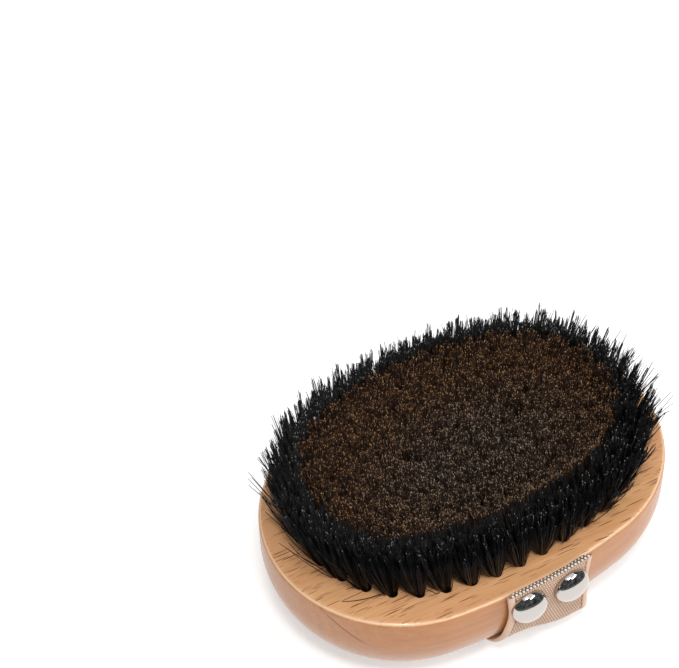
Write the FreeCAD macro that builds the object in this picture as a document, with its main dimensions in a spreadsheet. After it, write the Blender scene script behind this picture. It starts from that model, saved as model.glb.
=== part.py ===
import FreeCAD, Part
import math
import os
import Sketcher
from FreeCAD import Placement, Rotation, Vector

# Body brush with an elastic hand strap, standing on its strap with the bristles up.
#
# A beech block holds rings of bristle tufts in blind bores, each tuft folded over a
# flat wire anchor.  A woven elastic strap passes behind the block and is held by two
# dome-head nails on each side.  +X runs along the strap, +Y along the block and +Z from
# the strap up through the bristles; the origin is under the middle of the strap.

# ---------------------------------------------------------------- driving dimensions
SIZES = [
    ("half_width", 44.25, "block, half its width"),
    ("half_length", 65.0, "block, half its length"),
    ("side_radius", 180.0, "block, radius of each long side in plan"),
    ("block_thickness", 27.0, "block, from its back to its bristle face"),
    ("round_height", 17.5, "block, height of the rounding towards the back"),
    ("round_inset", 6.5, "block, how far the rounding draws the back in"),
    ("face_round", 1.5, "block, radius round the rim of the bristle face"),
    ("tuft_side_margin", 8.75, "outer tufts, from the block's long side"),
    ("tuft_end_margin", 12.5, "outer tufts, from the block's ends"),
    ("tuft_side_radius", 94.0, "outer tufts, radius of their long sides"),
    ("tuft_pitch", 7.8, "tufts, spacing along a row"),
    ("bore_radius", 1.65, "tuft bores, radius"),
    ("bore_depth", 9.0, "tuft bores, depth from the face"),
    ("root_clearance", 0.1, "tuft roots, clearance to the bore"),
    ("slice_thickness", 1.2, "backing slice under each row of tufts"),
    ("bristle_height", 20.0, "bristles, height above the face"),
    ("side_splay", 4.2, "outer tufts, lean outward at the sides"),
    ("end_splay", 9.5, "outer tufts, lean outward at the ends"),
    ("foot_spread", 0.95, "strands, distance from the tuft's centre at its foot"),
    ("tip_spread", 2.5, "strands, distance from the tuft's centre at the tip"),
    ("strand_foot", 0.9, "strands, width at the foot"),
    ("strand_belly", 1.9, "strands, width where they are fullest"),
    ("strand_tip", 1.2, "strands, width at the tip"),
    ("anchor_height", 1.6, "wire anchor, height"),
    ("anchor_thickness", 0.4, "wire anchor, thickness"),
    ("strap_width", 30.0, "strap, width"),
    ("strap_thickness", 1.8, "strap, thickness"),
    ("strap_clearance", 0.3, "strap, clearance to block and nails"),
    ("strap_above_face", 1.5, "strap ends, height above the bristle face"),
    ("hand_gap", 5.2, "free height between strap and block"),
    ("nail_spacing", 14.5, "nails, spacing on one side"),
    ("nail_drop", 7.0, "nails, centre below the bristle face"),
    ("head_radius", 6.0, "nail head, radius"),
    ("head_rim", 0.5, "nail head, height of its straight rim"),
    ("dome_height", 3.0, "nail head, height of its dome above the rim"),
    ("shank_radius", 1.1, "nail shank, radius"),
    ("shank_length", 15.0, "nail shank, length under the head"),
    ("point_length", 2.5, "nail shank, length of its point"),
]
ROWS = 6
OUTER_STRANDS = 4
INNER_STRANDS = 3
BELLY_SHARE = 0.6       # a strand is fullest at this share of its height
LEAN_POWER = 3          # how fast the lean grows from the middle tufts to the outer ones
SWEEP_SPARE = 3         # the strap is turned this many times too wide, then cut to width
ROUND_OFF = 1e-6        # lengths below this, in mm, are taken as nothing

doc = FreeCAD.newDocument("body_brush")
sheet = doc.addObject("Spreadsheet::Sheet", "sizes")
for line, (alias, number, meaning) in enumerate(SIZES, 1):
    sheet.set("A%d" % line, meaning)
    sheet.set("B%d" % line, str(number))
    sheet.setAlias("B%d" % line, alias)
doc.recompute()


def size(alias):
    """The number that the sheet holds under this alias."""
    return float(sheet.get(alias))


# Heights and radii that follow from the driving dimensions, as expressions.
BACK = "(sizes.strap_thickness + sizes.hand_gap)"
FACE = "(%s + sizes.block_thickness)" % BACK
ROUND = "((sizes.round_height ^ 2 + sizes.round_inset ^ 2) / (2 * sizes.round_inset))"
SIDE_CENTRE = "(sizes.side_radius - sizes.half_width)"


def value(expression):
    """The number that an expression over the sheet comes to."""
    return float(sheet.evalExpression(expression))


back = value(BACK)
face = value(FACE)


# ---------------------------------------------------------------- sketch helpers
def plane_of(body, role):
    """One of the body's own origin planes, such as XY_Plane."""
    return next(f for f in body.Origin.OriginFeatures if f.Role == role)


def new_sketch(body, name, role):
    """A sketch of the body, lying on one of its origin planes."""
    sketch = body.newObject("Sketcher::SketchObject", name)
    sketch.AttachmentSupport = [(plane_of(body, role), "")]
    sketch.MapMode = "FlatFace"
    return sketch


def bind(sketch, kind, places, expression, name):
    """Add a dimension to a sketch and tie it to the sheet."""
    index = sketch.addConstraint(Sketcher.Constraint(kind, *places, value(expression)))
    sketch.renameConstraint(index, name)
    sketch.setExpression("Constraints." + name, expression)


def draw_profile(sketch, corners):
    """Draw a closed profile through corners (across, up), each an expression.

    A corner may hold a third entry, the radius of the arc that leads on from it, and
    a fourth, +1 or -1, for an arc that runs anticlockwise or clockwise from there.
    """
    spots = [Vector(value(c[0]), value(c[1]), 0) for c in corners]
    ends = []
    for index, corner in enumerate(corners):
        start, finish = spots[index], spots[(index + 1) % len(spots)]
        if len(corner) == 2:
            sketch.addGeometry(Part.LineSegment(start, finish))
            ends.append((1, 2))
            continue
        sketch.addGeometry(arc_between(start, finish, value(corner[2]), corner[3]))
        ends.append((1, 2) if corner[3] > 0 else (2, 1))
    for index in range(len(corners)):
        follower = (index + 1) % len(corners)
        meeting = (index, ends[index][1], follower, ends[follower][0])
        sketch.addConstraint(Sketcher.Constraint("Coincident", *meeting))
    for index, corner in enumerate(corners):
        place = (index, ends[index][0])
        for axis, kind, expression in ((0, "DistanceX", corner[0]), (1, "DistanceY", corner[1])):
            if abs(spots[index][axis]) < ROUND_OFF:
                on_axis = Sketcher.Constraint("PointOnObject", *place, axis - 2)
                sketch.addConstraint(on_axis)
            else:
                bind(sketch, kind, (-1, 1) + place, expression, "%s_%d" % ("xy"[axis], index))
        if len(corner) > 2:
            bind(sketch, "Radius", (index,), corner[2], "radius_%d" % index)


def arc_between(start, finish, radius, turn):
    """The shorter arc between two spots; a sketch keeps every arc anticlockwise."""
    chord = finish - start
    rise = math.sqrt(radius ** 2 - (chord.Length / 2) ** 2)
    side = Vector(-chord.y, chord.x, 0).normalize() * turn
    centre = (start + finish) * 0.5 + side * rise
    first, last = (start, finish) if turn > 0 else (finish, start)
    angles = [math.atan2(spot.y - centre.y, spot.x - centre.x) for spot in (first, last)]
    return Part.ArcOfCircle(Part.Circle(centre, Vector(0, 0, 1), radius), *angles)


def oval_outline(sketch):
    """Four arcs, tangent to each other, as wide and as long as the block."""
    across, along = value("sizes.half_width"), value("sizes.half_length")
    side = value("sizes.side_radius")
    end = (2 * side * across - across ** 2 - along ** 2) / (2 * (side - along))
    turn = math.atan2(along - end, side - across)
    for number, (centre, radius, middle, half) in enumerate((
            (Vector(across - side, 0, 0), side, 0.0, turn),
            (Vector(0, along - end, 0), end, math.pi / 2, math.pi / 2 - turn),
            (Vector(side - across, 0, 0), side, math.pi, turn),
            (Vector(0, end - along, 0), end, -math.pi / 2, math.pi / 2 - turn))):
        circle = Part.Circle(centre, Vector(0, 0, 1), radius)
        sketch.addGeometry(Part.ArcOfCircle(circle, middle - half, middle + half))
    for number in range(4):
        sketch.addConstraint(Sketcher.Constraint("Tangent", number, 2, (number + 1) % 4, 1))
    for number in (0, 2):
        sketch.addConstraint(Sketcher.Constraint("PointOnObject", number, 3, -1))
    sketch.addConstraint(Sketcher.Constraint("Equal", 0, 2))
    sketch.addConstraint(Sketcher.Constraint("Equal", 1, 3))
    tip = sketch.addGeometry(Part.Point(Vector(0, along, 0)), True)
    sketch.addConstraint(Sketcher.Constraint("PointOnObject", tip, 1, -2))
    sketch.addConstraint(Sketcher.Constraint("PointOnObject", tip, 1, 1))
    bind(sketch, "Radius", (0,), "sizes.side_radius", "side_radius")
    bind(sketch, "DistanceX", (0, 3, -1, 1), SIDE_CENTRE, "side_centre")
    bind(sketch, "DistanceX", (-1, 1, 2, 3), SIDE_CENTRE, "far_side_centre")
    bind(sketch, "DistanceY", (-1, 1, tip, 1), "sizes.half_length", "half_length")


# ---------------------------------------------------------------- tuft rows
# Row 0 is the outer row and the last row is a straight line on the block's long axis.
# A share of 0 gives the outer row's oval and a share of 1 gives that line.
ROW_STEP = 1.0 / (ROWS - 1)
FIELD_WIDTH = size("half_width") - size("tuft_side_margin")
FIELD_LENGTH = size("half_length") - size("tuft_end_margin")
FIELD_END = ((2 * size("tuft_side_radius") * FIELD_WIDTH - FIELD_WIDTH ** 2 - FIELD_LENGTH ** 2)
             / (2 * (size("tuft_side_radius") - FIELD_LENGTH)))


def oval_arcs(share):
    """Centre, radius, first angle and turn of an oval's four arcs, anticlockwise."""
    across = FIELD_WIDTH * (1 - share)
    along = FIELD_LENGTH - FIELD_WIDTH * share
    end = FIELD_END * (1 - share)
    reach = along - end
    shift = (reach ** 2 - (across - end) ** 2) / (2 * (across - end))
    turn = math.atan2(reach, shift)
    wide = math.pi - 2 * turn
    return [(Vector(-shift, 0, 0), across + shift, -turn, 2 * turn),
            (Vector(0, reach, 0), end, turn, wide),
            (Vector(shift, 0, 0), across + shift, math.pi - turn, 2 * turn),
            (Vector(0, -reach, 0), end, math.pi + turn, wide)]


def on_arc(arc, angle):
    """The spot at an angle on one of the oval's arcs."""
    centre, radius = arc[0], arc[1]
    return centre + Vector(math.cos(angle), math.sin(angle), 0) * radius


def oval_prism(share, bottom, height):
    """A solid with the oval's outline."""
    edges = []
    for arc in oval_arcs(share):
        middle = on_arc(arc, arc[2] + arc[3] / 2)
        edges.append(Part.Arc(on_arc(arc, arc[2]), middle, on_arc(arc, arc[2] + arc[3])).toShape())
    prism = Part.Face(Part.Wire(edges)).extrude(Vector(0, 0, height))
    prism.translate(Vector(0, 0, bottom))
    return prism


def tuft_spots(row):
    """Centre and outward direction of every tuft of a row, evenly spaced along it."""
    if row == ROWS - 1:
        reach = FIELD_LENGTH - FIELD_WIDTH
        count = 2 * max(1, round(reach / size("tuft_pitch")))
        step = 2 * reach / count
        places = [(number + 0.5) * step - reach for number in range(count)]
        return [(Vector(0, y, 0), Vector(0, math.copysign(1, y), 0)) for y in places]
    arcs = oval_arcs(row * ROW_STEP)
    length = sum(arc[1] * arc[3] for arc in arcs)
    count = 2 * round(length / (2 * size("tuft_pitch")))
    spots = []
    for number in range(count):
        # The count starts where the right-hand arc crosses the X axis.
        run = (number + 0.5) * length / count + arcs[0][1] * arcs[0][3] / 2
        for arc in arcs + arcs[:1]:
            if run <= arc[1] * arc[3]:
                break
            run -= arc[1] * arc[3]
        angle = arc[2] + run / arc[1]
        spots.append((on_arc(arc, angle), Vector(math.cos(angle), math.sin(angle), 0)))
    return spots


def splayed(spot):
    """Where a tuft's middle is at bristle height: the outer tufts lean outward."""
    share = min(1.0, math.hypot(spot.x / FIELD_WIDTH, spot.y / FIELD_LENGTH)) ** LEAN_POWER
    lean_x = size("side_splay") * share * spot.x / FIELD_WIDTH
    lean_y = size("end_splay") * share * spot.y / FIELD_LENGTH
    return Vector(spot.x + lean_x, spot.y + lean_y, 0)


def square(centre, outward, width, height):
    """A square wire, level, with one side facing outward."""
    sideways = Vector(-outward.y, outward.x, 0)
    middle = Vector(centre.x, centre.y, height)
    half = width / 2
    corners = [middle + outward * (a * half) + sideways * (b * half)
               for a, b in ((-1, -1), (1, -1), (1, 1), (-1, 1))]
    return Part.makePolygon(corners + corners[:1])


def strand(foot, tip, outward):
    """One four-sided bristle, fullest some way up; its foot is sunk in the slice."""
    bottom = face - size("slice_thickness") / 2
    top = face + size("bristle_height")
    belly = foot + (tip - foot) * BELLY_SHARE
    belly_height = face + size("bristle_height") * BELLY_SHARE
    sections = [square(foot, outward, size("strand_foot"), bottom),
                square(belly, outward, size("strand_belly"), belly_height),
                square(tip, outward, size("strand_tip"), top)]
    return Part.makeLoft(sections, True, True)


def tuft_strands(spot, outward, count):
    """The strands of one tuft, set round its centre and fanning out to their tips."""
    strands = []
    middle = splayed(spot)
    for number in range(count):
        angle = 2 * math.pi * (number + 0.5) / count
        turned = Vector(outward.x * math.cos(angle) - outward.y * math.sin(angle),
                        outward.x * math.sin(angle) + outward.y * math.cos(angle), 0)
        foot = spot + turned * size("foot_spread")
        tip = middle + turned * size("tip_spread")
        strands.append(strand(foot, tip, outward))
    return strands


def tuft_row(row):
    """A ring of the face with its tufts: strands above it and folded roots below."""
    bottom = face - size("slice_thickness")
    ring = oval_prism((row - 0.5) * ROW_STEP, bottom, size("slice_thickness"))
    if row < ROWS - 1:
        ring = ring.cut(oval_prism((row + 0.5) * ROW_STEP, bottom, size("slice_thickness")))
    root_bottom = face - size("bore_depth") + size("anchor_height")
    root_radius = size("bore_radius") - size("root_clearance")
    pieces = []
    for spot, outward in tuft_spots(row):
        base = Vector(spot.x, spot.y, root_bottom)
        pieces.append(Part.makeCylinder(root_radius, bottom - root_bottom, base))
        pieces += tuft_strands(spot, outward, OUTER_STRANDS if row == 0 else INNER_STRANDS)
    return ring.multiFuse(pieces)


def anchor_row(row):
    """The flat wire across the bottom of each bore, which the tuft is folded over."""
    wires = []
    length = 2 * (size("bore_radius") - size("root_clearance"))
    for spot, outward in tuft_spots(row):
        corner = Vector(-length / 2, -size("anchor_thickness") / 2, 0)
        wire = Part.makeBox(length, size("anchor_thickness"), size("anchor_height"), corner)
        turn = math.degrees(math.atan2(outward.y, outward.x)) + 90
        wire.Placement = Placement(Vector(spot.x, spot.y, face - size("bore_depth")),
                                   Rotation(Vector(0, 0, 1), turn))
        wires.append(wire)
    return Part.makeCompound(wires)


def shaped(name, shape):
    """An object of the document whose shape is worked out from the sheet."""
    feature = doc.addObject("Part::Feature", name)
    feature.Shape = shape
    feature.Placement = Placement()
    return feature


# ---------------------------------------------------------------- wood block
def nail_spots():
    """Name and placement of each nail; its head points out of the block's side."""
    seat = size("side_radius") + 2 * size("strap_clearance") + size("strap_thickness")
    turn = math.asin(size("nail_spacing") / 2 / seat)
    centre = size("half_width") - size("side_radius")
    height = face - size("nail_drop")
    spots = []
    for side, flip in (("right", 0), ("left", 180)):
        for end, sign in (("front", -1), ("rear", 1)):
            about = Rotation(Vector(0, 0, 1), flip + math.degrees(turn) * sign)
            middle = Rotation(Vector(0, 0, 1), flip).multVec(Vector(centre, 0, 0))
            place = middle + about.multVec(Vector(seat, 0, 0)) + Vector(0, 0, height)
            outward = Rotation(Vector(0, 0, 1), about.multVec(Vector(1, 0, 0)))
            spots.append(("nail_%s_%s" % (side, end), Placement(place, outward)))
    return spots


def shank_hole(placement, clearance):
    """The space that a nail's shank takes, with clearance all round it."""
    radius = size("shank_radius") + clearance
    hole = Part.makeCylinder(radius, size("shank_length"))
    hole.translate(Vector(0, 0, -size("shank_length")))
    hole.Placement = placement.multiply(hole.Placement)
    return hole


def wood_body():
    """The beech block: rounded towards its back, bored and recessed for the tufts."""
    body = doc.addObject("PartDesign::Body", "wood_blank")
    outline = new_sketch(body, "block_outline", "XY_Plane")
    outline.setExpression("AttachmentOffset.Base.z", BACK)
    oval_outline(outline)
    blank = body.newObject("PartDesign::Pad", "block_blank")
    blank.Profile = outline
    blank.setExpression("Length", "sizes.block_thickness")
    waste = new_sketch(body, "back_waste", "XZ_Plane")
    draw_profile(waste, [
        ("sizes.half_width - sizes.round_inset", BACK, ROUND, 1),
        ("sizes.half_width", BACK + " + sizes.round_height"),
        ("sizes.half_width + sizes.face_round", BACK + " + sizes.round_height"),
        ("sizes.half_width + sizes.face_round", BACK + " - sizes.face_round"),
        ("sizes.half_width - sizes.round_inset", BACK + " - sizes.face_round")])
    doc.recompute()
    rounding = body.newObject("PartDesign::SubtractivePipe", "back_rounding")
    rounding.Profile = waste
    rounding.Spine = (outline, ["Edge%d" % (number + 1) for number in range(4)])
    doc.recompute()
    rim = ["Edge%d" % (number + 1) for number, edge in enumerate(rounding.Shape.Edges)
           if all(abs(vertex.Z - face) < ROUND_OFF for vertex in edge.Vertexes)]
    fillet = body.newObject("PartDesign::Fillet", "face_rim")
    fillet.Base = (rounding, rim)
    fillet.setExpression("Radius", "sizes.face_round")
    body.Tip = fillet
    holes = [oval_prism(-ROW_STEP / 2, face - size("slice_thickness"), size("slice_thickness"))]
    for row in range(ROWS):
        for spot, outward in tuft_spots(row):
            base = Vector(spot.x, spot.y, face - size("bore_depth"))
            depth = size("bore_depth") - size("slice_thickness")
            holes.append(Part.makeCylinder(size("bore_radius"), depth, base))
    holes += [shank_hole(placement, 0.0) for name, placement in nail_spots()]
    block = doc.addObject("Part::Cut", "wood_body")
    block.Base = body
    block.Tool = shaped("bores_and_recess", Part.makeCompound(holes))
    return block


# ---------------------------------------------------------------- nails
def nail(name, placement):
    """A dome-head nail, turned about its own axis."""
    body = doc.addObject("PartDesign::Body", name)
    profile = new_sketch(body, name + "_profile", "XZ_Plane")
    rise = "sizes.shank_length"
    dome = "((sizes.head_radius ^ 2 + sizes.dome_height ^ 2) / (2 * sizes.dome_height))"
    draw_profile(profile, [
        ("0", "0"),
        ("sizes.shank_radius", "sizes.point_length"),
        ("sizes.shank_radius", rise),
        ("sizes.head_radius", rise),
        ("sizes.head_radius", rise + " + sizes.head_rim", dome, 1),
        ("0", rise + " + sizes.head_rim + sizes.dome_height")])
    turned = body.newObject("PartDesign::Revolution", name + "_turned")
    turned.Profile = profile
    turned.ReferenceAxis = (profile, ["V_Axis"])
    turned.Angle = 360
    body.Placement = placement.multiply(Placement(Vector(0, 0, -size("shank_length")), Rotation()))
    return body


# ---------------------------------------------------------------- strap
def strap_profile(sketch):
    """Half of the strap's section: flat under the block, then up round its side."""
    thick = "sizes.strap_thickness"
    side = "(sizes.half_width + sizes.strap_clearance)"
    bend_height = "(%s + sizes.round_height)" % BACK
    top = "(%s + sizes.strap_above_face)" % FACE
    # The inner face leaves the rounding level with the block's back and turns flat.
    slope = "(sizes.round_height / %s)" % ROUND
    flank = "(%s + sizes.strap_clearance)" % ROUND
    level = "(1 - %s ^ 2) ^ 0.5" % slope
    bend_x = "(sizes.half_width - %s + %s * %s)" % (ROUND, flank, level)
    bend_z = "(%s - %s * %s)" % (bend_height, flank, slope)
    turn = "((%s - %s) / (1 - %s))" % (bend_z, thick, slope)
    flat_x = "(%s - %s * %s)" % (bend_x, turn, level)
    outer_bend_x = "(%s + %s * %s)" % (bend_x, thick, level)
    outer_bend_z = "(%s - %s * %s)" % (bend_z, thick, slope)
    draw_profile(sketch, [
        ("0", "0"),
        (flat_x, "0", "(%s + %s)" % (turn, thick), 1),
        (outer_bend_x, outer_bend_z, "(%s + %s)" % (flank, thick), 1),
        ("(%s + %s)" % (side, thick), bend_height),
        ("(%s + %s)" % (side, thick), top),
        (side, top),
        (side, bend_height, flank, -1),
        (bend_x, bend_z, turn, -1),
        (flat_x, thick),
        ("0", thick)])


def elastic_strap():
    """The strap: its section turned about the side's own centre, then cut to width."""
    sketch = doc.addObject("Sketcher::SketchObject", "strap_section")
    sketch.Placement = Placement(Vector(0, 0, 0), Rotation(Vector(1, 0, 0), 90))
    strap_profile(sketch)
    half = doc.addObject("Part::Revolution", "strap_right_half")
    half.Source = sketch
    half.Axis = Vector(0, 0, 1)
    half.setExpression("Base.x", "-" + SIDE_CENTRE)
    half.Symmetric = True
    half.Solid = True
    spread = "%d * atan(sizes.strap_width / (2 * %s))" % (SWEEP_SPARE, SIDE_CENTRE)
    half.setExpression("Angle", spread)
    other = doc.addObject("Part::Mirroring", "strap_left_half")
    other.Source = half
    other.Normal = Vector(1, 0, 0)
    band = doc.addObject("Part::MultiFuse", "strap_band")
    band.Shapes = [half, other]
    band.Refine = True
    # A box as wide as the strap, and with room to spare round the band the other ways.
    width = doc.addObject("Part::Box", "strap_width")
    width.setExpression("Length", "4 * sizes.half_width")
    width.setExpression("Width", "sizes.strap_width")
    width.setExpression("Height", "2 * " + FACE)
    width.setExpression("Placement.Base.x", "-2 * sizes.half_width")
    width.setExpression("Placement.Base.y", "-sizes.strap_width / 2")
    trimmed = doc.addObject("Part::Common", "strap_trimmed")
    trimmed.Base = band
    trimmed.Tool = width
    holes = [shank_hole(placement, size("strap_clearance")) for name, placement in nail_spots()]
    strap = doc.addObject("Part::Cut", "elastic_strap")
    strap.Base = trimmed
    strap.Tool = shaped("strap_nail_holes", Part.makeCompound(holes))
    return strap


# ---------------------------------------------------------------- the whole brush
def build():
    """Every sub-part, under the name of its file."""
    nodes = {"wood_body": wood_body(), "elastic_strap": elastic_strap()}
    for row in range(ROWS):
        nodes["tuft_row_%d" % (row + 1)] = shaped("tuft_row_%d" % (row + 1), tuft_row(row))
        nodes["anchor_row_%d" % (row + 1)] = shaped("anchor_row_%d" % (row + 1), anchor_row(row))
    for name, placement in nail_spots():
        nodes[name] = nail(name, placement)
    for name, node in nodes.items():
        node.Label = name
    doc.recompute()
    return nodes


def check(nodes):
    """Stop if an object failed to compute, or a sub-part is empty or not valid."""
    for entry in doc.Objects:
        if "Invalid" in entry.State or "Error" in entry.State:
            raise RuntimeError("%s failed: %s" % (entry.Label, entry.State))
    for name, node in nodes.items():
        if node.Shape.isNull() or not node.Shape.isValid() or node.Shape.Volume <= 0:
            raise RuntimeError("%s has no valid solid" % name)


nodes = build()
check(nodes)
os.makedirs("parts", exist_ok=True)
for name, node in nodes.items():
    node.Shape.exportStep("parts/%s.step" % name)
    print("%-18s %4d solids %8.1f mm3 %5d faces" % (
        name, len(node.Shape.Solids), node.Shape.Volume, len(node.Shape.Faces)))
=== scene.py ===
# %% [markdown]
# # A body brush, dressed for its portrait
#
# The real brush is an oval block of beech with 130 tufts of bristle set in its face,
# and a woven elastic strap across its back that a hand slips under.  Four dome-head
# nails hold the strap.  The CAD model already has these at their real size, so it is
# loaded as a fixed frame, and each piece below takes its place from it.

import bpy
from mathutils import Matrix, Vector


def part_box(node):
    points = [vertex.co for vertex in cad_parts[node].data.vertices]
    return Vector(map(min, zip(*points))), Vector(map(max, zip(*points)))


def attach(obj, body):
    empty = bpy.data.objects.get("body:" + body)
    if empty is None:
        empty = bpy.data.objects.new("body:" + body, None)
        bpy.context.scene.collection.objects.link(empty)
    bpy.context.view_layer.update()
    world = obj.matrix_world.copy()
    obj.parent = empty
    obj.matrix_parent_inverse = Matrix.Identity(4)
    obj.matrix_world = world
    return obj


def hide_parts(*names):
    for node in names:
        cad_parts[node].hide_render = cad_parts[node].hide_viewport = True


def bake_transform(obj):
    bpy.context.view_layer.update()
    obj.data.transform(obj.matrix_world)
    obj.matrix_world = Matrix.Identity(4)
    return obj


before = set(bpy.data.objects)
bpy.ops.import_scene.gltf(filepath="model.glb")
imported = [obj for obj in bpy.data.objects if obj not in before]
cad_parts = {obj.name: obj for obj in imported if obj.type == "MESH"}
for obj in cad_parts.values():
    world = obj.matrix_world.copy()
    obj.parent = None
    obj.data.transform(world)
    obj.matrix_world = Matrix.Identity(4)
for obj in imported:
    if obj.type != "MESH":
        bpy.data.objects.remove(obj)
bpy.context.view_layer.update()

# %% [markdown]
# ## Units and small helpers
#
# Blender works in metres, but a brush is easier to think of in millimetres, so lengths
# are written as `3.5 * MM`.  Colours are written the way a paint chart gives them, as
# sRGB hex codes, and one function turns them into the linear values that shaders add
# and multiply.  One function adds a node, with its settings and its links.

# %% Helpers
import math

import bmesh
import bpy
import numpy as np
from mathutils import Matrix, Vector
from mathutils.geometry import delaunay_2d_cdt

MM = 0.001
print("Blender", bpy.app.version_string, "counts in metres, so a millimetre is", MM)


def linear(colour):
    """An sRGB hex colour as the linear RGBA that a shader socket takes."""
    channels = [int(colour[place:place + 2], 16) / 255 for place in (1, 3, 5)]
    return [c / 12.92 if c <= 0.04045 else ((c + 0.055) / 1.055) ** 2.4 for c in channels] + [1.0]


def add_node(tree, kind, inputs=None, stops=(), **settings):
    """Add a node: settings are its own choices, inputs are numbers or other sockets.

    A colour ramp also has stops, each a place and a hex colour, in rising order.
    """
    made = tree.nodes.new(kind)
    for name, choice in settings.items():
        setattr(made, name, choice)
    for socket, source in (inputs or {}).items():
        if isinstance(source, bpy.types.NodeSocket):
            tree.links.new(source, made.inputs[socket])
        else:
            made.inputs[socket].default_value = source
    for _ in stops[2:]:
        made.color_ramp.elements.new(0.5)
    for number, (place, colour) in enumerate(stops):
        made.color_ramp.elements[number].position = place
        made.color_ramp.elements[number].color = linear(colour)
    return made


def new_material(name, **surface):
    """A material with a Principled surface; its constant values are set directly."""
    material = bpy.data.materials.new(name)
    material.use_nodes = True
    shader = material.node_tree.nodes["Principled BSDF"]
    for socket, number in surface.items():
        shader.inputs[socket.replace("_", " ")].default_value = number
    return material, material.node_tree, shader


def new_piece(name, points, faces, material):
    """A mesh object from points in metres, smooth, with one material."""
    mesh = bpy.data.meshes.new(name)
    mesh.from_pydata(points, [], faces)
    mesh.polygons.foreach_set("use_smooth", [True] * len(mesh.polygons))
    mesh.materials.append(material)
    piece = bpy.data.objects.new(name, mesh)
    bpy.context.scene.collection.objects.link(piece)
    reach = np.abs(np.array(points)).max(0) / MM
    print("%-22s %7d faces, reaches %5.1f %5.1f %5.1f mm" % (name, len(faces), *reach))
    return piece


# %% [markdown]
# ## Beech
#
# Beech is a pale, pinkish wood with a very even ground.  What gives it away are its
# rays and pores: short dark dashes, a few millimetres long and a third of one wide,
# all running with the grain, here along Y.  The block was turned and sanded, then
# given a satin lacquer, so the dashes stay sharp and the light sits softly on top.
#
# The ground and the pores follow the grain, which lies a few degrees off the block's
# length.  So one function turns the piece's own coordinates by that much, and counts
# them in grain widths across and grain lengths along.

# %% Follow the grain
GRAIN_SLANT = 4.0


def grain_space(tree, across, along):
    """The piece's own coordinates, in grain widths across and grain lengths along."""
    place = add_node(tree, "ShaderNodeTexCoord")
    slanted = add_node(tree, "ShaderNodeVectorRotate", {
        "Vector": place.outputs["Object"], "Angle": math.radians(GRAIN_SLANT)},
        rotation_type="Z_AXIS")
    return add_node(tree, "ShaderNodeMapping", {
        "Vector": slanted.outputs[0], "Scale": (1 / across, 1 / along, 1 / across)})


print("grain %.0f degrees off the length" % GRAIN_SLANT)

# %% [markdown]
# ### The ground
#
# A stretched noise gives broad streaks, which a colour ramp turns to two beech tones.
# A slower one warms the wood in patches, and the fine fibres make it a little paler
# and darker again.

# %% The ground
FIBRE_SPACING = 0.5 * MM
FIBRE_LENGTH = 25.0 * MM
CLOUD_SPACING = 22.0 * MM
CLOUD_LENGTH = 60.0 * MM


def beech_ground(tree, fibres):
    """Colour of the bare wood."""
    streaks = add_node(tree, "ShaderNodeTexNoise", {
        "Vector": grain_space(tree, FIBRE_SPACING * 4, FIBRE_LENGTH * 2).outputs[0],
        "Scale": 1.0, "Detail": 4.0, "Roughness": 0.6})
    streaked = add_node(tree, "ShaderNodeValToRGB", {"Fac": streaks.outputs["Fac"]},
                        stops=[(0.30, "#ca9260"), (0.70, "#deab7b")])
    clouds = add_node(tree, "ShaderNodeTexNoise", {
        "Vector": grain_space(tree, CLOUD_SPACING, CLOUD_LENGTH).outputs[0],
        "Scale": 1.0, "Detail": 2.0})
    rosy = add_node(tree, "ShaderNodeMapRange", {
        "Value": clouds.outputs["Fac"], "From Min": 0.35, "From Max": 0.70, "To Max": 0.5})
    warmed = add_node(tree, "ShaderNodeMixRGB", {
        "Fac": rosy.outputs[0], "Color1": streaked.outputs[0], "Color2": linear("#d4976c")})
    fine = add_node(tree, "ShaderNodeMapRange", {
        "Value": fibres, "From Min": 0.3, "From Max": 0.7, "To Min": 0.93, "To Max": 1.05})
    return add_node(tree, "ShaderNodeVectorMath", {
        0: warmed.outputs[0], "Scale": fine.outputs[0]}, operation="SCALE").outputs[0]


print("fibres %.1f mm apart" % (FIBRE_SPACING / MM))

# %% [markdown]
# ### One growth line
#
# Growth rings come from a wave round the heart of the tree, far below and to one side.
# In beech they are faint: only the dark line at the end of one year shows, and only
# near one spot, on the end that faces the camera.  Blender's wave repeats twenty times
# in tau units, so its scale and its unit together give the rings' spacing.

# %% The growth line
RING_UNIT = 9.0 * MM
RING_SCALE = 0.16
RING_PHASE = 1.3
HEART = (-150 * MM, 0.0, -180 * MM)
LINE_SPOT = (24.0 * MM, -57.5 * MM, 28.0 * MM)
LINE_CLEAR = 5 * MM
LINE_GONE = 11 * MM


def growth_line(tree):
    """How dark the growth line is, 0 to 1: clear near its spot and gone further off."""
    place = add_node(tree, "ShaderNodeTexCoord")
    about_heart = add_node(tree, "ShaderNodeMapping", {
        "Vector": place.outputs["Object"], "Location": [-axis / RING_UNIT for axis in HEART],
        "Scale": (1 / RING_UNIT,) * 3})
    rings = add_node(tree, "ShaderNodeTexWave", {
        "Vector": about_heart.outputs[0], "Scale": RING_SCALE, "Distortion": 0.8, "Detail": 2.0,
        "Detail Scale": 0.4, "Phase Offset": RING_PHASE}, wave_type="RINGS", rings_direction="Y")
    year_end = add_node(tree, "ShaderNodeMapRange", {
        "Value": rings.outputs["Fac"], "From Min": 0.992, "From Max": 1.0})
    from_spot = add_node(tree, "ShaderNodeVectorMath", {
        0: place.outputs["Object"], 1: LINE_SPOT}, operation="DISTANCE")
    near = add_node(tree, "ShaderNodeMapRange", {
        "Value": from_spot.outputs["Value"], "From Min": LINE_CLEAR, "From Max": LINE_GONE,
        "To Min": 0.85, "To Max": 0.0})
    return add_node(tree, "ShaderNodeMath", {
        0: year_end.outputs[0], 1: near.outputs[0]}, operation="MULTIPLY").outputs[0]


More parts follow.
